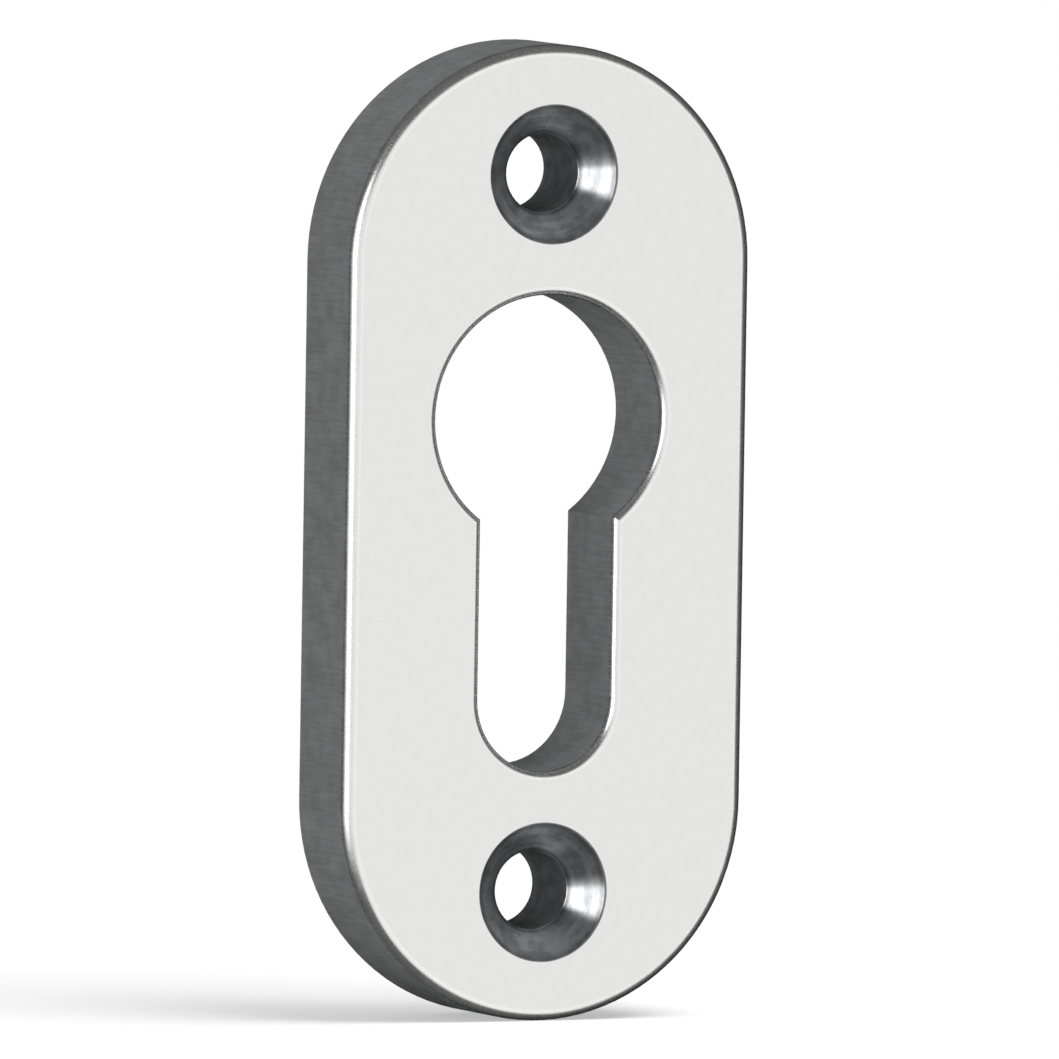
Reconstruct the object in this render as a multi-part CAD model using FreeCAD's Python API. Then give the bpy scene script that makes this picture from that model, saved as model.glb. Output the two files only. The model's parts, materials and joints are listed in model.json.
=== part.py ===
"""Oval keyhole escutcheon for a profile lock cylinder, cut from one solid plate.

Millimetres. +Z points up along the plate, +X to the right of someone who looks at its
front face, and +Y into the door. The origin lies in the back face, half way between the
two screw holes.
"""

import FreeCAD
import Part

import math
import os

from FreeCAD import Vector

# Lock cylinder that passes through the plate: a round barrel over a narrower web
barrel_diameter = 17.0
web_width = 10.0
cylinder_height = 33.0
barrel_clearance = 0.1
web_clearance = 0.05

# Countersunk fixing screws, one above the cylinder and one below it
screw_diameter = 5.0
screw_clearance = 0.25
screw_head_diameter = 9.3
screw_head_clearance = 0.15
screw_head_angle = 90.0

# Metal left around the openings
plate_thickness = 8.0
side_wall = 6.6
land_below_screw = 3.6
rim_beyond_screw = 4.2

# Finish of the edges
front_edge_radius = 0.8
opening_edge_radius = 0.6
screw_mouth_edge_radius = 0.2
back_edge_break = 0.2

# How far a cutter starts in front of the plate and ends behind it
cutter_overrun = 1.0

# How close an edge lies to the outline that it belongs to
same_place = 1e-4

node_name = "escutcheon_plate"
into_door = Vector(0, 1, 0)

# Sizes that follow from those above
barrel_radius = barrel_diameter / 2 + barrel_clearance
web_radius = web_width / 2 + web_clearance
opening_top = cylinder_height / 2 + barrel_clearance
screw_hole_radius = screw_diameter / 2 + screw_clearance
screw_mouth_radius = screw_head_diameter / 2 + screw_head_clearance
screw_z = opening_top + land_below_screw + screw_mouth_radius
plate_radius = barrel_radius + side_wall
plate_top = screw_z + screw_mouth_radius + rim_beyond_screw


def behind_front(x, z, depth):
    """The point at x and z that lies a depth behind the front face."""
    return Vector(x, depth - plate_thickness, z)


def line(start, end):
    return Part.LineSegment(start, end).toShape()


def arc(start, middle, end):
    return Part.Arc(start, middle, end).toShape()


def plate_outline(depth):
    """Two straight sides that run into full round ends."""
    end_z = plate_top - plate_radius
    top_left = behind_front(-plate_radius, end_z, depth)
    top_right = behind_front(plate_radius, end_z, depth)
    bottom_left = behind_front(-plate_radius, -end_z, depth)
    bottom_right = behind_front(plate_radius, -end_z, depth)
    return Part.Wire([
        arc(top_right, behind_front(0, plate_top, depth), top_left),
        line(top_left, bottom_left),
        arc(bottom_left, behind_front(0, -plate_top, depth), bottom_right),
        line(bottom_right, top_right),
    ])


def opening_outline(depth):
    """The lock cylinder's section: a round over a narrower web with a round end."""
    barrel_z = opening_top - barrel_radius
    shoulder_z = barrel_z - math.sqrt(barrel_radius**2 - web_radius**2)
    web_end_z = web_radius - opening_top
    left_shoulder = behind_front(-web_radius, shoulder_z, depth)
    right_shoulder = behind_front(web_radius, shoulder_z, depth)
    left_end = behind_front(-web_radius, web_end_z, depth)
    right_end = behind_front(web_radius, web_end_z, depth)
    return Part.Wire([
        arc(right_shoulder, behind_front(0, opening_top, depth), left_shoulder),
        line(left_shoulder, left_end),
        arc(left_end, behind_front(0, -opening_top, depth), right_end),
        line(right_end, right_shoulder),
    ])


def extrude_back(outline, length):
    """The solid that an outline sweeps on its way into the door."""
    return Part.Face(outline).extrude(into_door * length)


def opening_cutter():
    """The space that the lock cylinder passes through."""
    return extrude_back(opening_outline(-cutter_overrun), plate_thickness + 2 * cutter_overrun)


def screw_cutter(z):
    """A clearance hole for the screw, with a cone that sinks its head flush."""
    start = behind_front(0, z, -cutter_overrun)
    hole_length = plate_thickness + 2 * cutter_overrun
    hole = Part.makeCylinder(screw_hole_radius, hole_length, start, into_door)
    slope = math.tan(math.radians(screw_head_angle / 2))
    cone_depth = (screw_mouth_radius - screw_hole_radius) / slope
    widest = screw_mouth_radius + cutter_overrun * slope
    cone_length = cone_depth + cutter_overrun
    cone = Part.makeCone(widest, screw_hole_radius, cone_length, start, into_door)
    return hole.fuse(cone)


def screw_outline(z, radius, depth):
    """A circle round the axis of the screw hole at height z."""
    return Part.Wire(Part.makeCircle(radius, behind_front(0, z, depth), into_door))


def edges_along(solid, outline):
    """The edges of a solid whose middles lie on an outline."""
    found = []
    for edge in solid.Edges:
        middle = edge.valueAt((edge.FirstParameter + edge.LastParameter) / 2)
        if outline.distToShape(Part.Vertex(middle))[0] < same_place:
            found.append(edge)
    return found


def finish_edges(plate):
    """Rounds the front edges that fingers, keys and screws touch, and breaks the back ones."""
    plate = plate.makeFillet(front_edge_radius, edges_along(plate, plate_outline(0)))
    plate = plate.makeFillet(opening_edge_radius, edges_along(plate, opening_outline(0)))
    back_outlines = [plate_outline(plate_thickness), opening_outline(plate_thickness)]
    for z in (screw_z, -screw_z):
        mouth = edges_along(plate, screw_outline(z, screw_mouth_radius, 0))
        plate = plate.makeFillet(screw_mouth_edge_radius, mouth)
        back_outlines.append(screw_outline(z, screw_hole_radius, plate_thickness))
    for outline in back_outlines:
        plate = plate.makeChamfer(back_edge_break, edges_along(plate, outline))
    return plate


def make_plate():
    """The whole escutcheon."""
    plate = extrude_back(plate_outline(0), plate_thickness).cut(opening_cutter())
    for z in (screw_z, -screw_z):
        plate = plate.cut(screw_cutter(z))
    return finish_edges(plate)


def main():
    os.makedirs("parts", exist_ok=True)
    plate = make_plate()
    if not plate.isValid() or len(plate.Solids) != 1:
        raise ValueError("the plate isn't one valid solid")
    plate.Solids[0].exportStep(os.path.join("parts", node_name + ".step"))
    print("plate", 2 * plate_radius, "x", 2 * plate_top, "x", plate_thickness, "mm")
    print("screw holes", 2 * screw_z, "mm apart")


main()
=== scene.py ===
"""Looks for an oval keyhole escutcheon in satin aluminium, laid out as an add-on."""

import json
import math

import bmesh
import bpy
from mathutils import Matrix, Vector


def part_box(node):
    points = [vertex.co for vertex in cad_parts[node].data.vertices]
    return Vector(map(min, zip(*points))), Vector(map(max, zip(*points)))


bl_info = {
    "name": "Keyhole Escutcheon Looks",
    "version": (1, 0, 0),
    "blender": (4, 5, 0),
    "location": "View3D > Sidebar > Escutcheon",
    "description": "Satin aluminium finish and studio stage for an oval keyhole escutcheon",
    "category": "Object",
}

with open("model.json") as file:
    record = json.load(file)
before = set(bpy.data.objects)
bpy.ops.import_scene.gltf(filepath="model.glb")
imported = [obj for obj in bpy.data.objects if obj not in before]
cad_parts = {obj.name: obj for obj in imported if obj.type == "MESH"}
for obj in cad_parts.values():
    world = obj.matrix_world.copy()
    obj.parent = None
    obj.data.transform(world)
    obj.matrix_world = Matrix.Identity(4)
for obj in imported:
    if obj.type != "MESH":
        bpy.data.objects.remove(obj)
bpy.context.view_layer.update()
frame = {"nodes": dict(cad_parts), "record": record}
PLATE_NODE = "escutcheon_plate"
PLATE_LOW, PLATE_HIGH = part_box(PLATE_NODE)
MOUNTS = {mount["name"]: mount for mount in frame["record"]["mounts"]}

# Millimetres: the bore that the record gives, and the countersink's mouth with its rounded rim
SCREW_HOLE_RADIUS = MOUNTS["upper_screw_hole"]["dims"]["r_mm"]
SCREW_MOUTH_RADIUS = 4.85

# Millimetres: the form of the solid, where the record and its box don't give it
WEB_RADIUS = 5.05
OUTER_ROUNDING = 0.8
OPENING_ROUNDING = 0.6
BACK_BREAK = 0.2

# Millimetres: where the mesh's own normals take over, at the back and round the countersinks
BACK_SEAM = (-BACK_BREAK - 0.01, -BACK_BREAK)
MOUTH_SEAM = (SCREW_MOUTH_RADIUS + 0.25, SCREW_MOUTH_RADIUS + 0.2)

# Millimetres from the screw's axis: where the painted shade lines at a cone's foot and rim begin
# and end
PAINTED_SEAT_SPAN = (SCREW_HOLE_RADIUS + 0.4, SCREW_HOLE_RADIUS + 0.1)
PAINTED_RIM_SPAN = (SCREW_MOUTH_RADIUS - 0.5, SCREW_MOUTH_RADIUS - 0.15)

# How dark and how light the unevenness of the metal makes each surface, and how dark the painted
# shade at a countersink's foot and rim is
WALL_SHADES = (0.86, 1.08)
FRONT_SHADES = (0.97, 1.02)
MOUTH_SHADES = (0.72, 1.25)
# Painted shade: the countersink is painted darker at its foot by the bore and at its rim
PAINTED_SEAT_SHADE = 0.45
PAINTED_RIM_SHADE = 0.65
ROUGHNESS_SWING = 0.03

# The middle part of a noise's range, where most of its values lie, and nearly all of them
NOISE_RANGE = (0.35, 0.65)
WIDE_NOISE_RANGE = (0.3, 0.7)

# How slowly the noise changes along the brush lines and along the cutter's streaks
BRUSH_STRETCH = 0.02
STREAK_STRETCH = 0.06

# Height of a surface with no grain, half way between its hollows and its tops
SMOOTH_HEIGHT = 0.5

MM = 0.001
MM_PER_METRE = 1000.0
WHITE = (1.0, 1.0, 1.0, 1.0)


class NodeTree:
    """Short ways to add and join nodes in one shader tree."""

    def __init__(self, tree):
        self.tree = tree

    def add(self, kind, **settings):
        node = self.tree.nodes.new(kind)
        for name, value in settings.items():
            setattr(node, name, value)
        return node

    def feed(self, socket, source):
        """Joins a socket to another one, or sets its value."""
        if isinstance(source, bpy.types.NodeSocket):
            self.tree.links.new(source, socket)
        elif source is not None:
            socket.default_value = source

    def math(self, operation, first, second=None, third=None, clamp=False):
        node = self.add("ShaderNodeMath", operation=operation, use_clamp=clamp)
        for socket, source in zip(node.inputs, (first, second, third)):
            self.feed(socket, source)
        return node.outputs["Value"]

    def vector_math(self, operation, first, second=None, scale=None):
        node = self.add("ShaderNodeVectorMath", operation=operation)
        self.feed(node.inputs[0], first)
        self.feed(node.inputs[1], second)
        if scale is not None:
            self.feed(node.inputs["Scale"], scale)
        wanted = "Value" if operation in {"DOT_PRODUCT", "LENGTH", "DISTANCE"} else "Vector"
        return node.outputs[wanted]

    def ramp(self, value, low, high, to_low=0.0, to_high=1.0):
        """Maps a value to a smooth step between two limits."""
        node = self.add("ShaderNodeMapRange", interpolation_type="SMOOTHSTEP")
        sources = (value, low, high, to_low, to_high)
        names = ("Value", "From Min", "From Max", "To Min", "To Max")
        for name, source in zip(names, sources):
            self.feed(node.inputs[name], source)
        return node.outputs["Result"]

    def mix_kind(self, kind, factor, first, second, **settings):
        """Mixes two sources of one kind, whose sockets are the last two of their type."""
        node = self.add("ShaderNodeMix", data_type=kind, **settings)
        self.feed(node.inputs["Factor"], factor)
        socket_type = "VALUE" if kind == "FLOAT" else kind
        ends = [socket for socket in node.inputs if socket.type == socket_type][-2:]
        for socket, source in zip(ends, (first, second)):
            self.feed(socket, source)
        return next(socket for socket in node.outputs if socket.type == socket_type)

    def mix(self, factor, first, second):
        """Mixes two plain numbers."""
        return self.mix_kind("FLOAT", factor, first, second)

    def mix_vector(self, factor, first, second):
        return self.mix_kind("VECTOR", factor, first, second)

    def mix_colour(self, factor, first, second, blend="MIX"):
        return self.mix_kind("RGBA", factor, first, second, blend_type=blend)

    def split(self, vector):
        node = self.add("ShaderNodeSeparateXYZ")
        self.feed(node.inputs["Vector"], vector)
        return node.outputs["X"], node.outputs["Y"], node.outputs["Z"]

    def combine(self, x, y, z):
        node = self.add("ShaderNodeCombineXYZ")
        for name, source in zip("XYZ", (x, y, z)):
            self.feed(node.inputs[name], source)
        return node.outputs["Vector"]

    def noise(self, vector, scale, detail=2.0, roughness=0.5):
        node = self.add("ShaderNodeTexNoise")
        sources = {"Vector": vector, "Scale": scale, "Detail": detail, "Roughness": roughness}
        for name, source in sources.items():
            self.feed(node.inputs[name], source)
        return node.outputs["Fac"]

    def group(self, made, **sources):
        """Places a node group, and feeds its inputs by name with underscores for spaces."""
        node = self.add("ShaderNodeGroup", node_tree=made)
        for name, source in sources.items():
            self.feed(node.inputs[name.replace("_", " ")], source)
        return node.outputs


def new_group(name, inputs, outputs):
    """A node group with its named sockets, and the helpers that fill it."""
    tree = bpy.data.node_groups.new(name, "ShaderNodeTree")
    for socket, kind, default in inputs:
        made = tree.interface.new_socket(socket, in_out="INPUT", socket_type=kind)
        if default is not None:
            made.default_value = default
    for socket, kind in outputs:
        tree.interface.new_socket(socket, in_out="OUTPUT", socket_type=kind)
    nodes = NodeTree(tree)
    entry = nodes.add("NodeGroupInput").outputs
    leave = nodes.add("NodeGroupOutput").inputs
    return tree, nodes, entry, leave


def screw_zone_group():
    """How far a point lies from the nearer screw axis, and how sure it is to be in its hole."""
    tree, nodes, entry, leave = new_group(
        "Screw zone",
        [
            ("Place", "NodeSocketVector", None),
            ("Screw Height", "NodeSocketFloat", 25.0),
            ("Mouth Radius", "NodeSocketFloat", 4.8),
            ("Hole Radius", "NodeSocketFloat", 2.75),
            ("Cone Foot", "NodeSocketFloat", -5.95),
            ("Blend", "NodeSocketFloat", 0.05),
        ],
        [
            ("Distance", "NodeSocketFloat"),
            ("Around", "NodeSocketFloat"),
            ("In Mouth", "NodeSocketFloat"),
            ("In Hole", "NodeSocketFloat"),
        ],
    )
    x, y, z = nodes.split(entry["Place"])
    above = nodes.math("SUBTRACT", nodes.math("ABSOLUTE", z), entry["Screw Height"])
    distance = nodes.vector_math("LENGTH", nodes.combine(x, 0.0, above))

    def under(value, limit):
        return nodes.ramp(value, nodes.math("ADD", limit, entry["Blend"]), limit)

    in_hole = under(distance, entry["Hole Radius"])
    in_cone = nodes.math(
        "MULTIPLY", under(distance, entry["Mouth Radius"]), under(y, entry["Cone Foot"])
    )
    nodes.feed(leave["Distance"], distance)
    nodes.feed(leave["Around"], nodes.math("ARCTAN2", above, x))
    nodes.feed(leave["In Mouth"], nodes.math("MAXIMUM", in_cone, in_hole))
    nodes.feed(leave["In Hole"], in_hole)
    return tree


def satin_grain_group():
    """A matt etched surface: a fine even grain, a coarser mottle and faint long brush lines."""
    tree, nodes, entry, leave = new_group(
        "Satin grain",
        [
            ("Place", "NodeSocketVector", None),
            ("Grain Per Mm", "NodeSocketFloat", 6.0),
            ("Mottle Per Mm", "NodeSocketFloat", 1.2),
            ("Lines Per Mm", "NodeSocketFloat", 9.0),
            ("Line Share", "NodeSocketFloat", 0.25),
        ],
        [("Height", "NodeSocketFloat"), ("Tint", "NodeSocketFloat")],
    )
    grain = nodes.noise(entry["Place"], entry["Grain Per Mm"], detail=3.0, roughness=0.6)
    mottle = nodes.noise(entry["Place"], entry["Mottle Per Mm"], detail=2.0)
    drawn_out = nodes.vector_math("MULTIPLY", entry["Place"], (1.0, 1.0, BRUSH_STRETCH))
    lines = nodes.noise(drawn_out, entry["Lines Per Mm"], detail=2.0)
    nodes.feed(leave["Height"], nodes.mix(entry["Line Share"], grain, lines))
    nodes.feed(leave["Tint"], nodes.mix(0.5, mottle, grain))
    return tree


def rounded_form_group():
    """The plate's true normals, which the mesh's flat facets only come near."""
    tree, nodes, entry, leave = new_group(
        "Rounded form",
        [
            ("Place", "NodeSocketVector", None),
            ("Mesh Normal", "NodeSocketVector", None),
            ("Keep Mesh", "NodeSocketFloat", 0.0),
            ("Front", "NodeSocketFloat", -8.0),
            ("Outer Radius", "NodeSocketFloat", 15.2),
            ("Outer Reach", "NodeSocketFloat", 18.8),
            ("Outer Rounding", "NodeSocketFloat", 0.8),
            ("Barrel Radius", "NodeSocketFloat", 8.6),
            ("Barrel Height", "NodeSocketFloat", 8.0),
            ("Web Radius", "NodeSocketFloat", 5.05),
            ("Web Foot", "NodeSocketFloat", -11.55),
            ("Opening Rounding", "NodeSocketFloat", 0.6),
        ],
        [("Normal", "NodeSocketVector")],
    )
    x, y, z = nodes.split(entry["Place"])

    def from_spine(low, high):
        """Distance and direction from the upright line between two heights on the plate's axis."""
        nearest = nodes.math("MINIMUM", nodes.math("MAXIMUM", z, low), high)
        offset = nodes.combine(x, 0.0, nodes.math("SUBTRACT", z, nearest))
        return nodes.vector_math("LENGTH", offset), nodes.vector_math("NORMALIZE", offset)

    def nearness(gap, rounding):
        """1 at an edge, falling to 0 where its rounding ends."""
        return nodes.math("SUBTRACT", 1.0, nodes.math("DIVIDE", gap, rounding), clamp=True)

    below = nodes.math("SUBTRACT", y, entry["Front"])
    foot = nodes.math("MULTIPLY", entry["Outer Reach"], -1.0)
    plate_reach, outwards = from_spine(foot, entry["Outer Reach"])
    outer_gap = nodes.math("SUBTRACT", entry["Outer Radius"], plate_reach)
    at_outer = nearness(outer_gap, entry["Outer Rounding"])

    barrel_reach, from_barrel = from_spine(entry["Barrel Height"], entry["Barrel Height"])
    web_reach, from_web = from_spine(entry["Web Foot"], entry["Barrel Height"])
    barrel_gap = nodes.math("SUBTRACT", barrel_reach, entry["Barrel Radius"])
    web_gap = nodes.math("SUBTRACT", web_reach, entry["Web Radius"])
    by_barrel = nodes.math("LESS_THAN", barrel_gap, web_gap)
    from_opening = nodes.mix_vector(by_barrel, from_web, from_barrel)
    at_opening = nearness(nodes.math("MINIMUM", barrel_gap, web_gap), entry["Opening Rounding"])

    rounding = nodes.mix(
        nodes.math("GREATER_THAN", at_opening, 0.0),
        entry["Outer Rounding"],
        entry["Opening Rounding"],
    )
    forwards = nodes.math("MULTIPLY", nearness(below, rounding), -1.0)
    true = nodes.vector_math(
        "SUBTRACT",
        nodes.vector_math("SCALE", outwards, scale=at_outer),
        nodes.vector_math("SCALE", from_opening, scale=at_opening),
    )
    true = nodes.vector_math("ADD", true, nodes.combine(0.0, forwards, 0.0))
    true = nodes.vector_math("NORMALIZE", true)
    kept = nodes.mix_vector(entry["Keep Mesh"], true, entry["Mesh Normal"])
    nodes.feed(leave["Normal"], nodes.vector_math("NORMALIZE", kept))
    return tree


def turned_rings_group():
    """The rings and the mottle that a countersinking cutter leaves round its axis."""
    tree, nodes, entry, leave = new_group(
        "Turned rings",
        [
            ("Place", "NodeSocketVector", None),
            ("Distance", "NodeSocketFloat", 1.0),
            ("Around", "NodeSocketFloat", 0.0),
            ("Rings Per Mm", "NodeSocketFloat", 4.0),
            ("Unevenness", "NodeSocketFloat", 0.6),
            ("Drift Around", "NodeSocketFloat", 0.3),
            ("Mottle Per Mm", "NodeSocketFloat", 0.9),
            ("Ring Share", "NodeSocketFloat", 0.35),
        ],
        [("Height", "NodeSocketFloat"), ("Tint", "NodeSocketFloat")],
    )
    along, across = (
        nodes.math("MULTIPLY", nodes.math(turn, entry["Around"]), entry["Drift Around"])
        for turn in ("COSINE", "SINE")
    )
    wander = nodes.noise(
        nodes.combine(entry["Distance"], along, across), entry["Rings Per Mm"], detail=2.0
    )
    turns = nodes.math("MULTIPLY", entry["Distance"], entry["Rings Per Mm"])
    wave = nodes.math("SINE", nodes.math("MULTIPLY", turns, math.tau))
    wave = nodes.math("MULTIPLY_ADD", wave, 0.5, 0.5)
    mottle = nodes.noise(entry["Place"], entry["Mottle Per Mm"], detail=3.0)
    nodes.feed(leave["Height"], nodes.mix(entry["Unevenness"], wave, wander))
    nodes.feed(leave["Tint"], nodes.mix(entry["Ring Share"], mottle, wander))
    return tree


def facing_group():
    """Which way the surface faces: a rubbed edge, either broad face, and the back alone."""
    tree, nodes, entry, leave = new_group(
        "Facing",
        [
            ("Normal", "NodeSocketVector", None),
            ("Front Limit", "NodeSocketFloat", 0.998),
            ("Wall Limit", "NodeSocketFloat", 0.05),
            ("Turn Start", "NodeSocketFloat", 0.2),
            ("Turn End", "NodeSocketFloat", 0.8),
        ],
        [
            ("Rubbed", "NodeSocketFloat"),
            ("Flat", "NodeSocketFloat"),
            ("Back", "NodeSocketFloat"),
        ],
    )
    _, y, _ = nodes.split(entry["Normal"])
    facing = nodes.math("ABSOLUTE", y)
    off_front = nodes.ramp(facing, 1.0, entry["Front Limit"])
    off_wall = nodes.ramp(facing, 0.0, entry["Wall Limit"])
    nodes.feed(leave["Rubbed"], nodes.math("MULTIPLY", off_front, off_wall))
    nodes.feed(leave["Flat"], nodes.ramp(facing, entry["Turn Start"], entry["Turn End"]))
    nodes.feed(leave["Back"], nodes.ramp(y, entry["Turn Start"], entry["Turn End"]))
    return tree


def cutter_streaks_group():
    """The streaks that a side cutter leaves across the thickness of a wall."""
    tree, nodes, entry, leave = new_group(
        "Cutter streaks",
        [
            ("Place", "NodeSocketVector", None),
            ("Streaks Per Mm", "NodeSocketFloat", 5.0),
            ("Mottle Per Mm", "NodeSocketFloat", 0.7),
        ],
        [("Height", "NodeSocketFloat"), ("Tint", "NodeSocketFloat")],
    )
    drawn_out = nodes.vector_math("MULTIPLY", entry["Place"], (1.0, STREAK_STRETCH, 1.0))
    streaks = nodes.noise(drawn_out, entry["Streaks Per Mm"], detail=2.0)
    mottle = nodes.noise(entry["Place"], entry["Mottle Per Mm"], detail=3.0)
    nodes.feed(leave["Height"], streaks)
    nodes.feed(leave["Tint"], nodes.mix(0.5, streaks, mottle))
    return tree


def soft_panel_group():
    """Where a panel of the light tent covers the view, in angles from the panel's own middle."""
    tree, nodes, entry, leave = new_group(
        "Soft panel",
        [
            ("Direction", "NodeSocketVector", None),
            ("Azimuth", "NodeSocketFloat", 0.0),
            ("Elevation", "NodeSocketFloat", 0.0),
            ("Half Width", "NodeSocketFloat", 0.5),
            ("Half Height", "NodeSocketFloat", 0.5),
            ("Soft Edge", "NodeSocketFloat", 0.2),
        ],
        [("Cover", "NodeSocketFloat")],
    )
    turned = nodes.add("ShaderNodeVectorRotate", rotation_type="Z_AXIS")
    nodes.feed(turned.inputs["Vector"], entry["Direction"])
    nodes.feed(turned.inputs["Angle"], nodes.math("MULTIPLY", entry["Azimuth"], -1.0))
    x, y, z = nodes.split(turned.outputs["Vector"])
    across = nodes.math("ARCTAN2", x, nodes.math("MULTIPLY", y, -1.0))
    above = nodes.math("SUBTRACT", nodes.math("ARCSINE", z), entry["Elevation"])
    covers = []
    for angle, half in ((across, "Half Width"), (above, "Half Height")):
        outside = nodes.math("ADD", entry[half], entry["Soft Edge"])
        covers.append(nodes.ramp(nodes.math("ABSOLUTE", angle), outside, entry[half]))
    nodes.feed(leave["Cover"], nodes.math("MULTIPLY", *covers))
    return tree


class EscutcheonFinish(bpy.types.PropertyGroup):
    """Colours and finish of the metal, with the painted shade colours of the screw holes."""

    metal_colour: bpy.props.FloatVectorProperty(
        name="Metal Colour",
        description="Colour of the bare satin metal on the front",
        subtype="COLOR",
        size=3,
        min=0.0,
        max=1.0,
        default=(0.86, 0.86, 0.85),
    )
    wall_colour: bpy.props.FloatVectorProperty(
        name="Wall Colour",
        description="Colour of the metal on the cut walls",
        subtype="COLOR",
        size=3,
        min=0.0,
        max=1.0,
        default=(0.78, 0.79, 0.80),
    )
    # Painted shade: the bores take a dark colour that stands in for the shade deep in the screw
    # holes
    bore_painted_shade_colour: bpy.props.FloatVectorProperty(
        name="Bore Painted Shade Colour",
        description="Colour of the drilled metal inside the screw holes",
        subtype="COLOR",
        size=3,
        min=0.0,
        max=1.0,
        default=(0.30, 0.31, 0.32),
    )
    # Painted shade: the countersinks take a dark colour that stands in for the shade in their
    # hollows
    mouth_painted_shade_colour: bpy.props.FloatVectorProperty(
        name="Countersink Painted Shade Colour",
        description="Colour of the turned metal in the countersinks",
        subtype="COLOR",
        size=3,
        min=0.0,
        max=1.0,
        default=(0.36, 0.37, 0.38),
    )
    metal_share: bpy.props.FloatProperty(
        name="Metal Share",
        description="How much of the surface mirrors as bare metal; the rest scatters light",
        subtype="FACTOR",
        min=0.0,
        max=1.0,
        default=0.8,
    )
    edge_metal_share: bpy.props.FloatProperty(
        name="Edge Metal Share",
        description="How much of the rounded edges mirrors, where handling has bared the metal",
        subtype="FACTOR",
        min=0.0,
        max=1.0,
        default=0.96,
    )
    mouth_metal_share: bpy.props.FloatProperty(
        name="Countersink Metal Share",
        description="How much of the countersinks mirrors as bare metal",
        subtype="FACTOR",
        min=0.0,
        max=1.0,
        default=0.72,
    )
    back_metal_share: bpy.props.FloatProperty(
        name="Back Metal Share",
        description="How much of the raw matt back mirrors as bare metal",
        subtype="FACTOR",
        min=0.0,
        max=1.0,
        default=0.3,
    )
    front_roughness: bpy.props.FloatProperty(
        name="Front Roughness",
        description="Roughness of the satin front",
        subtype="FACTOR",
        min=0.0,
        max=1.0,
        default=0.36,
    )
    back_roughness: bpy.props.FloatProperty(
        name="Back Roughness",
        description="Roughness of the raw matt back",
        subtype="FACTOR",
        min=0.0,
        max=1.0,
        default=0.5,
    )
    wall_roughness: bpy.props.FloatProperty(
        name="Wall Roughness",
        description="Roughness of the cut walls",
        subtype="FACTOR",
        min=0.0,
        max=1.0,
        default=0.32,
    )
    edge_roughness: bpy.props.FloatProperty(
        name="Edge Roughness",
        description="Roughness of the rounded edges, which handling has rubbed smooth",
        subtype="FACTOR",
        min=0.0,
        max=1.0,
        default=0.27,
    )
    turned_roughness: bpy.props.FloatProperty(
        name="Turned Roughness",
        description="Roughness of the countersinks, which the cutter leaves brighter",
        subtype="FACTOR",
        min=0.0,
        max=1.0,
        default=0.2,
    )
    grain_depth: bpy.props.FloatProperty(
        name="Grain Depth",
        description="Depth of the satin grain",
        subtype="DISTANCE",
        unit="LENGTH",
        min=0.0,
        default=0.004 * MM,
        precision=6,
    )


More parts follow.
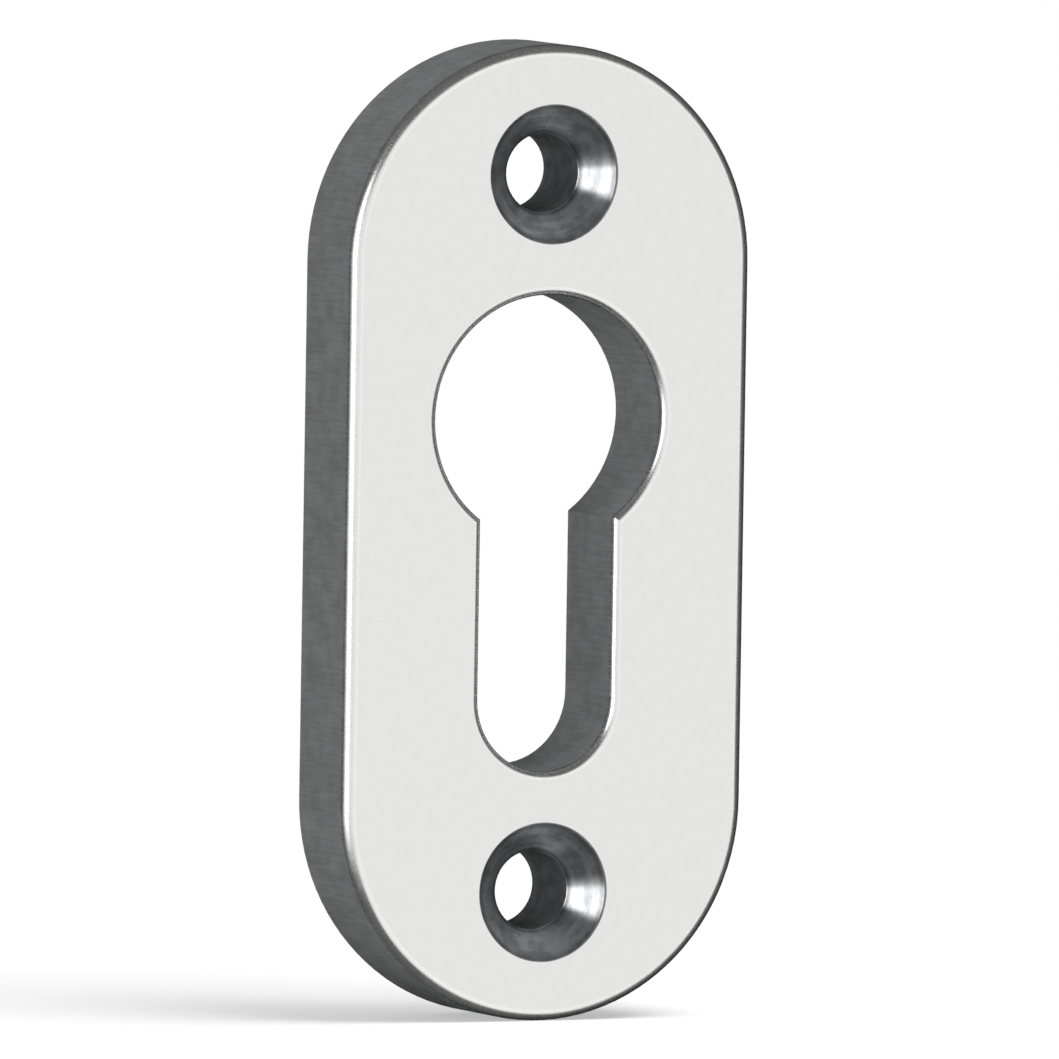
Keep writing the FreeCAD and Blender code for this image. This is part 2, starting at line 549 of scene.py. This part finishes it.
class EscutcheonStage(bpy.types.PropertyGroup):
    """Camera, floor and light."""

    azimuth: bpy.props.FloatProperty(
        name="Azimuth",
        description="Angle of the camera round the plate, from straight in front",
        subtype="ANGLE",
        unit="ROTATION",
        default=math.radians(-24.7),
    )
    elevation: bpy.props.FloatProperty(
        name="Elevation",
        description="Angle of the camera above the middle of the plate",
        subtype="ANGLE",
        unit="ROTATION",
        default=math.radians(3.83),
    )
    roll: bpy.props.FloatProperty(
        name="Roll",
        description="Turn of the camera about its own line of sight",
        subtype="ANGLE",
        unit="ROTATION",
        default=math.radians(0.91),
    )
    distance: bpy.props.FloatProperty(
        name="Distance",
        description="From the camera to the middle of the plate",
        subtype="DISTANCE",
        unit="LENGTH",
        default=2.0,
    )
    frame_width: bpy.props.FloatProperty(
        name="Frame Width",
        description="Width that the picture shows at the plate",
        subtype="DISTANCE",
        unit="LENGTH",
        default=73.72 * MM,
    )
    aim_right: bpy.props.FloatProperty(
        name="Aim Right",
        description="How far to the right of the middle of the plate the camera aims",
        subtype="DISTANCE",
        unit="LENGTH",
        default=0.33 * MM,
    )
    aim_up: bpy.props.FloatProperty(
        name="Aim Up",
        description="How far above the middle of the plate the camera aims",
        subtype="DISTANCE",
        unit="LENGTH",
        default=0.02 * MM,
    )
    floor_colour: bpy.props.FloatVectorProperty(
        name="Floor Colour",
        description="Colour of the pale floor",
        subtype="COLOR",
        size=3,
        min=0.0,
        max=1.0,
        default=(0.65, 0.65, 0.65),
    )
    floor_radius: bpy.props.FloatProperty(
        name="Floor Radius",
        description="Radius of the round floor",
        subtype="DISTANCE",
        unit="LENGTH",
        default=0.6,
    )
    fade_start: bpy.props.FloatProperty(
        name="Fade Start",
        description="How far from its middle the floor starts to thin out",
        subtype="DISTANCE",
        unit="LENGTH",
        default=0.10,
    )
    fade_end: bpy.props.FloatProperty(
        name="Fade End",
        description="How far from its middle the floor has gone",
        subtype="DISTANCE",
        unit="LENGTH",
        default=0.35,
    )
    floor_lift: bpy.props.FloatProperty(
        name="Floor Lift",
        description="Glow that only the camera sees, which makes the floor nearly white",
        min=0.0,
        default=0.4,
    )
    world_light: bpy.props.FloatProperty(
        name="World Light",
        description="Strength of the light that the white surroundings give to matt surfaces",
        min=0.0,
        default=0.36,
    )
    key_place: bpy.props.FloatVectorProperty(
        name="Key Lamp Place",
        description="Where the large soft lamp stands",
        subtype="XYZ_LENGTH",
        unit="LENGTH",
        size=3,
        default=(0.38, -0.36, 1.05),
    )
    key_size: bpy.props.FloatProperty(
        name="Key Lamp Size",
        description="Diameter of the large soft lamp",
        subtype="DISTANCE",
        unit="LENGTH",
        min=0.0,
        default=0.9,
    )
    key_power: bpy.props.FloatProperty(
        name="Key Lamp Power",
        description="Power of the large soft lamp",
        subtype="POWER",
        unit="POWER",
        min=0.0,
        default=12.0,
    )
    tent_radius: bpy.props.FloatProperty(
        name="Tent Radius",
        description="Radius of the light tent round the set",
        subtype="DISTANCE",
        unit="LENGTH",
        default=0.9,
    )
    cloth_tone: bpy.props.FloatProperty(
        name="Cloth Tone",
        description="Tone of the grey cloth that the metal reflects beside the bright panels",
        subtype="FACTOR",
        min=0.0,
        max=1.0,
        default=0.10,
    )
    shade_behind: bpy.props.FloatProperty(
        name="Shade Behind",
        description="How much of the cloth's tone is left behind the plate and to its right",
        subtype="FACTOR",
        min=0.0,
        max=1.0,
        default=0.15,
    )
    front_strength: bpy.props.FloatProperty(
        name="Front Panel",
        description="Strength of the broad panel in front, where 1 is white",
        min=0.0,
        default=1.07,
    )
    left_strength: bpy.props.FloatProperty(
        name="Left Panel",
        description="Strength of the low panel at the left, where 1 is white",
        min=0.0,
        default=0.9,
    )
    lamp_strength: bpy.props.FloatProperty(
        name="Strip Lamp",
        description="Strength of the narrow lamp in the left panel, where 1 is white",
        min=0.0,
        default=4.4,
    )


def whole_tree(owner):
    """The cleared node tree of a material or a world."""
    owner.use_nodes = True
    owner.node_tree.nodes.clear()
    return NodeTree(owner.node_tree)


def satin_aluminium(finish):
    """The plate's one material: satin front, cut walls, turned countersinks and drilled bores, the
    last two with painted shade.
    """
    material = bpy.data.materials.new("Satin aluminium")
    nodes = whole_tree(material)
    metres = nodes.add("ShaderNodeTexCoord").outputs["Object"]
    place = nodes.vector_math("SCALE", metres, scale=MM_PER_METRE)
    zone = nodes.group(
        screw_zone_group(),
        Place=place,
        Screw_Height=MOUNTS["upper_screw_hole"]["pos_m"][2] / MM,
        Mouth_Radius=SCREW_MOUTH_RADIUS,
        Hole_Radius=SCREW_HOLE_RADIUS,
        Cone_Foot=PLATE_LOW.y / MM + SCREW_MOUTH_RADIUS - SCREW_HOLE_RADIUS,
    )
    _, depth, _ = nodes.split(place)
    at_back = nodes.ramp(depth, *BACK_SEAM)
    at_mouth = nodes.ramp(zone["Distance"], *MOUTH_SEAM)
    barrel = MOUNTS["cylinder_barrel"]
    barrel_height, barrel_radius = barrel["pos_m"][2] / MM, barrel["dims"]["r_mm"]
    normal = nodes.group(
        rounded_form_group(),
        Place=place,
        Mesh_Normal=nodes.add("ShaderNodeTexCoord").outputs["Normal"],
        Keep_Mesh=nodes.math("MAXIMUM", at_back, at_mouth),
        Front=PLATE_LOW.y / MM,
        Outer_Radius=PLATE_HIGH.x / MM,
        Outer_Reach=(PLATE_HIGH.z - PLATE_HIGH.x) / MM,
        Outer_Rounding=OUTER_ROUNDING,
        Barrel_Radius=barrel_radius,
        Barrel_Height=barrel_height,
        Web_Radius=WEB_RADIUS,
        Web_Foot=WEB_RADIUS - barrel_height - barrel_radius,
        Opening_Rounding=OPENING_ROUNDING,
    )["Normal"]
    faces = nodes.group(facing_group(), Normal=normal)
    flat = faces["Flat"]

    grain = nodes.group(satin_grain_group(), Place=place)
    streaks = nodes.group(cutter_streaks_group(), Place=place)
    rings = nodes.group(
        turned_rings_group(), Place=place, Distance=zone["Distance"], Around=zone["Around"]
    )

    height = nodes.mix(flat, streaks["Height"], grain["Height"])
    height = nodes.mix(faces["Rubbed"], height, SMOOTH_HEIGHT)
    height = nodes.mix(zone["In Mouth"], height, rings["Height"])
    tint = nodes.mix(flat, streaks["Tint"], grain["Tint"])
    colour = nodes.mix_colour(flat, (*finish.wall_colour, 1.0), (*finish.metal_colour, 1.0))
    # Painted shade: the countersinks and bores are coloured far darker than the metal, for the
    # shade in the screw holes
    colour = nodes.mix_colour(zone["In Mouth"], colour, (*finish.mouth_painted_shade_colour, 1.0))
    colour = nodes.mix_colour(zone["In Hole"], colour, (*finish.bore_painted_shade_colour, 1.0))
    wall_shade = nodes.ramp(tint, *NOISE_RANGE, *WALL_SHADES)
    front_shade = nodes.ramp(tint, *NOISE_RANGE, *FRONT_SHADES)
    shade = nodes.mix(flat, wall_shade, front_shade)
    mouth_mottle_and_painted_shade = nodes.ramp(rings["Tint"], *NOISE_RANGE, *MOUTH_SHADES)
    # Painted shade: dark lines painted round the countersink's foot and rim, left out of the bore
    painted_seat_line = nodes.ramp(zone["Distance"], *PAINTED_SEAT_SPAN, 1.0, PAINTED_SEAT_SHADE)
    painted_seat_line = nodes.mix(zone["In Hole"], painted_seat_line, 1.0)
    painted_rim_line = nodes.ramp(zone["Distance"], *PAINTED_RIM_SPAN, 1.0, PAINTED_RIM_SHADE)
    lines = nodes.math("MULTIPLY", painted_seat_line, painted_rim_line)
    # The countersink's random mottle, times its painted shade lines
    mouth_mottle_and_painted_shade = nodes.math("MULTIPLY", mouth_mottle_and_painted_shade, lines)
    shade = nodes.mix(zone["In Mouth"], shade, mouth_mottle_and_painted_shade)
    # The colour times the grain's random tone, and in the countersinks times their painted shade
    # too
    colour = nodes.mix_colour(1.0, colour, nodes.combine(shade, shade, shade), "MULTIPLY")
    rough = nodes.mix(flat, finish.wall_roughness, finish.front_roughness)
    rough = nodes.mix(faces["Rubbed"], rough, finish.edge_roughness)
    rough = nodes.mix(faces["Back"], rough, finish.back_roughness)
    rough = nodes.mix(zone["In Mouth"], rough, finish.turned_roughness)
    swing = nodes.ramp(tint, *WIDE_NOISE_RANGE, -ROUGHNESS_SWING, ROUGHNESS_SWING)
    rough = nodes.math("ADD", rough, swing)

    bare = nodes.mix(faces["Rubbed"], finish.metal_share, finish.edge_metal_share)
    bare = nodes.mix(faces["Back"], bare, finish.back_metal_share)
    bare = nodes.mix(zone["In Mouth"], bare, finish.mouth_metal_share)

    bump = nodes.add("ShaderNodeBump")
    nodes.feed(bump.inputs["Strength"], 1.0)
    nodes.feed(bump.inputs["Distance"], finish.grain_depth)
    nodes.feed(bump.inputs["Height"], height)
    to_world = nodes.add(
        "ShaderNodeVectorTransform",
        vector_type="NORMAL",
        convert_from="OBJECT",
        convert_to="WORLD",
    )
    nodes.feed(to_world.inputs["Vector"], normal)
    nodes.feed(bump.inputs["Normal"], to_world.outputs["Vector"])
    metal = nodes.add("ShaderNodeBsdfPrincipled")
    nodes.feed(metal.inputs["Base Color"], colour)
    nodes.feed(metal.inputs["Metallic"], bare)
    nodes.feed(metal.inputs["Roughness"], rough)
    nodes.feed(metal.inputs["Normal"], bump.outputs["Normal"])
    output = nodes.add("ShaderNodeOutputMaterial")
    nodes.feed(output.inputs["Surface"], metal.outputs["BSDF"])
    return material


def fading_floor_material(stage):
    """A matt pale floor that thins out into the white behind it."""
    material = bpy.data.materials.new("Pale floor")
    nodes = whole_tree(material)
    place = nodes.add("ShaderNodeTexCoord").outputs["Object"]
    far = nodes.ramp(nodes.vector_math("LENGTH", place), stage.fade_start, stage.fade_end)
    matt = nodes.add("ShaderNodeBsdfDiffuse")
    nodes.feed(matt.inputs["Color"], (*stage.floor_colour, 1.0))
    seen = nodes.add("ShaderNodeLightPath").outputs["Is Camera Ray"]
    lift = nodes.add("ShaderNodeEmission")
    nodes.feed(lift.inputs["Strength"], nodes.math("MULTIPLY", seen, stage.floor_lift))
    pale = nodes.add("ShaderNodeAddShader")
    nodes.feed(pale.inputs[0], matt.outputs["BSDF"])
    nodes.feed(pale.inputs[1], lift.outputs["Emission"])
    clear = nodes.add("ShaderNodeBsdfTransparent")
    blend = nodes.add("ShaderNodeMixShader")
    nodes.feed(blend.inputs[0], far)
    nodes.feed(blend.inputs[1], pale.outputs["Shader"])
    nodes.feed(blend.inputs[2], clear.outputs["BSDF"])
    output = nodes.add("ShaderNodeOutputMaterial")
    nodes.feed(output.inputs["Surface"], blend.outputs["Shader"])
    return material


def disc(name, radius, place):
    """A flat round mesh with its face up."""
    corners = 96
    turn = [math.tau * step / corners for step in range(corners)]
    points = [(radius * math.cos(angle), radius * math.sin(angle), 0.0) for angle in turn]
    mesh = bpy.data.meshes.new(name)
    mesh.from_pydata(points, [], [range(corners)])
    made = bpy.data.objects.new(name, mesh)
    made.location = place
    bpy.context.scene.collection.objects.link(made)
    return made


def plate_middle():
    return (PLATE_LOW + PLATE_HIGH) / 2


def add_floor(stage):
    floor = disc("floor", stage.floor_radius, Vector((0.0, 0.0, PLATE_LOW.z)))
    floor.data.materials.append(fading_floor_material(stage))
    floor.visible_glossy = False


def tent_material(stage):
    """Grey cloth with its bright panels, each given in degrees as seen from the plate."""
    material = bpy.data.materials.new("Light tent")
    nodes = whole_tree(material)
    place = nodes.add("ShaderNodeTexCoord").outputs["Object"]
    direction = nodes.vector_math("NORMALIZE", place)
    made = soft_panel_group()

    def panel(azimuth, elevation, half_width, half_height, soft_edge):
        angles = (azimuth, elevation, half_width, half_height, soft_edge)
        azimuth, elevation, half_width, half_height, soft_edge = map(math.radians, angles)
        return nodes.group(
            made,
            Direction=direction,
            Azimuth=azimuth,
            Elevation=elevation,
            Half_Width=half_width,
            Half_Height=half_height,
            Soft_Edge=soft_edge,
        )["Cover"]

    behind = panel(azimuth=130, elevation=-15, half_width=20, half_height=30, soft_edge=55)
    front = panel(azimuth=12, elevation=-8, half_width=30, half_height=34, soft_edge=10)
    left = panel(azimuth=-50, elevation=0, half_width=42, half_height=8, soft_edge=24)
    lamp = panel(azimuth=-70, elevation=8, half_width=8, half_height=15, soft_edge=6)

    # The cloth is dimmer behind the plate and to its right, and the panels lie over it
    tone = nodes.mix(behind, stage.cloth_tone, stage.cloth_tone * stage.shade_behind)
    for cover, strength in (
        (front, stage.front_strength),
        (left, stage.left_strength),
        (lamp, stage.lamp_strength),
    ):
        tone = nodes.mix(cover, tone, strength)
    glow = nodes.add("ShaderNodeEmission")
    nodes.feed(glow.inputs["Color"], tone)
    output = nodes.add("ShaderNodeOutputMaterial")
    nodes.feed(output.inputs["Surface"], glow.outputs["Emission"])
    return material


def add_tent(stage):
    """A grey tent round the set, which only reflections see."""
    mesh = bpy.data.meshes.new("tent")
    shell = bmesh.new()
    bmesh.ops.create_uvsphere(shell, u_segments=64, v_segments=32, radius=stage.tent_radius)
    shell.to_mesh(mesh)
    shell.free()
    tent = bpy.data.objects.new("tent", mesh)
    tent.location = plate_middle()
    bpy.context.scene.collection.objects.link(tent)
    mesh.materials.append(tent_material(stage))
    tent.visible_camera = False
    tent.visible_diffuse = False
    tent.visible_shadow = False


def add_key_lamp(stage):
    """A large soft lamp above, which lights matt surfaces and stays out of reflections."""
    light = bpy.data.lights.new("key", "AREA")
    light.shape = "DISK"
    light.size = stage.key_size
    light.energy = stage.key_power
    lamp = bpy.data.objects.new("key", light)
    place = Vector(stage.key_place)
    lamp.location = place
    lamp.rotation_mode = "QUATERNION"
    lamp.rotation_quaternion = (plate_middle() - place).to_track_quat("-Z", "Y")
    bpy.context.scene.collection.objects.link(lamp)
    lamp.visible_glossy = False


def white_world(stage):
    """White where the camera, metal or glass look, and softer light on matt surfaces."""
    world = bpy.data.worlds.new("White studio")
    bpy.context.scene.world = world
    nodes = whole_tree(world)
    path = nodes.add("ShaderNodeLightPath").outputs
    seen = nodes.math("MAXIMUM", path["Is Camera Ray"], path["Is Glossy Ray"])
    seen = nodes.math("MAXIMUM", seen, path["Is Transmission Ray"])
    background = nodes.add("ShaderNodeBackground")
    nodes.feed(background.inputs["Color"], WHITE)
    nodes.feed(background.inputs["Strength"], nodes.mix(seen, stage.world_light, 1.0))
    output = nodes.add("ShaderNodeOutputWorld")
    nodes.feed(output.inputs["Surface"], background.outputs["Background"])


def add_camera(stage):
    """The camera at the photograph's angle, on a long lens."""
    azimuth, elevation, roll = stage.azimuth, stage.elevation, stage.roll
    level = math.cos(elevation)
    back = Vector((math.sin(azimuth) * level, -math.cos(azimuth) * level, math.sin(elevation)))
    level_right = Vector((math.cos(azimuth), math.sin(azimuth), 0.0))
    level_up = back.cross(level_right)
    right = level_right * math.cos(roll) + level_up * math.sin(roll)
    up = level_up * math.cos(roll) - level_right * math.sin(roll)
    camera_data = bpy.data.cameras.new("camera")
    camera_data.lens = camera_data.sensor_width * stage.distance / stage.frame_width
    camera_data.clip_start = stage.distance / 100
    camera_data.clip_end = stage.distance * 10
    camera = bpy.data.objects.new("camera", camera_data)
    place = plate_middle() + back * stage.distance + right * stage.aim_right + up * stage.aim_up
    turn = Matrix((right, up, back)).transposed().to_4x4()
    camera.matrix_world = Matrix.Translation(place) @ turn
    bpy.context.scene.collection.objects.link(camera)
    bpy.context.scene.camera = camera


class ESCUTCHEON_OT_finish_plate(bpy.types.Operator):
    """Gives the plate its satin aluminium finish"""

    bl_idname = "escutcheon.finish_plate"
    bl_label = "Finish Plate"

    def execute(self, context):
        plate = frame["nodes"][PLATE_NODE]
        plate.material_slots[0].material = satin_aluminium(context.scene.escutcheon_finish)
        return {"FINISHED"}


class ESCUTCHEON_OT_build_stage(bpy.types.Operator):
    """Sets up the floor, the light, the white surroundings and the camera"""

    bl_idname = "escutcheon.build_stage"
    bl_label = "Build Stage"

    def execute(self, context):
        stage = context.scene.escutcheon_stage
        add_floor(stage)
        add_tent(stage)
        white_world(stage)
        add_key_lamp(stage)
        add_camera(stage)
        context.scene.view_settings.view_transform = "Standard"
        return {"FINISHED"}


class ESCUTCHEON_PT_looks(bpy.types.Panel):
    """Lists the steps and their settings in the 3D view's sidebar"""

    bl_label = "Keyhole Escutcheon"
    bl_idname = "ESCUTCHEON_PT_looks"
    bl_space_type = "VIEW_3D"
    bl_region_type = "UI"
    bl_category = "Escutcheon"

    def draw(self, context):
        steps = (
            (ESCUTCHEON_OT_finish_plate, context.scene.escutcheon_finish),
            (ESCUTCHEON_OT_build_stage, context.scene.escutcheon_stage),
        )
        for operator, settings in steps:
            box = self.layout.box()
            for name in settings.bl_rna.properties.keys():
                if name not in {"rna_type", "name"}:
                    box.prop(settings, name)
            box.operator(operator.bl_idname)


CLASSES = (
    EscutcheonFinish,
    EscutcheonStage,
    ESCUTCHEON_OT_finish_plate,
    ESCUTCHEON_OT_build_stage,
    ESCUTCHEON_PT_looks,
)


def register():
    for each in CLASSES:
        bpy.utils.register_class(each)
    bpy.types.Scene.escutcheon_finish = bpy.props.PointerProperty(type=EscutcheonFinish)
    bpy.types.Scene.escutcheon_stage = bpy.props.PointerProperty(type=EscutcheonStage)


def unregister():
    del bpy.types.Scene.escutcheon_stage
    del bpy.types.Scene.escutcheon_finish
    for each in reversed(CLASSES):
        bpy.utils.unregister_class(each)


def main():
    register()
    bpy.ops.escutcheon.finish_plate()
    bpy.ops.escutcheon.build_stage()


if __name__ == "__main__":
    main()
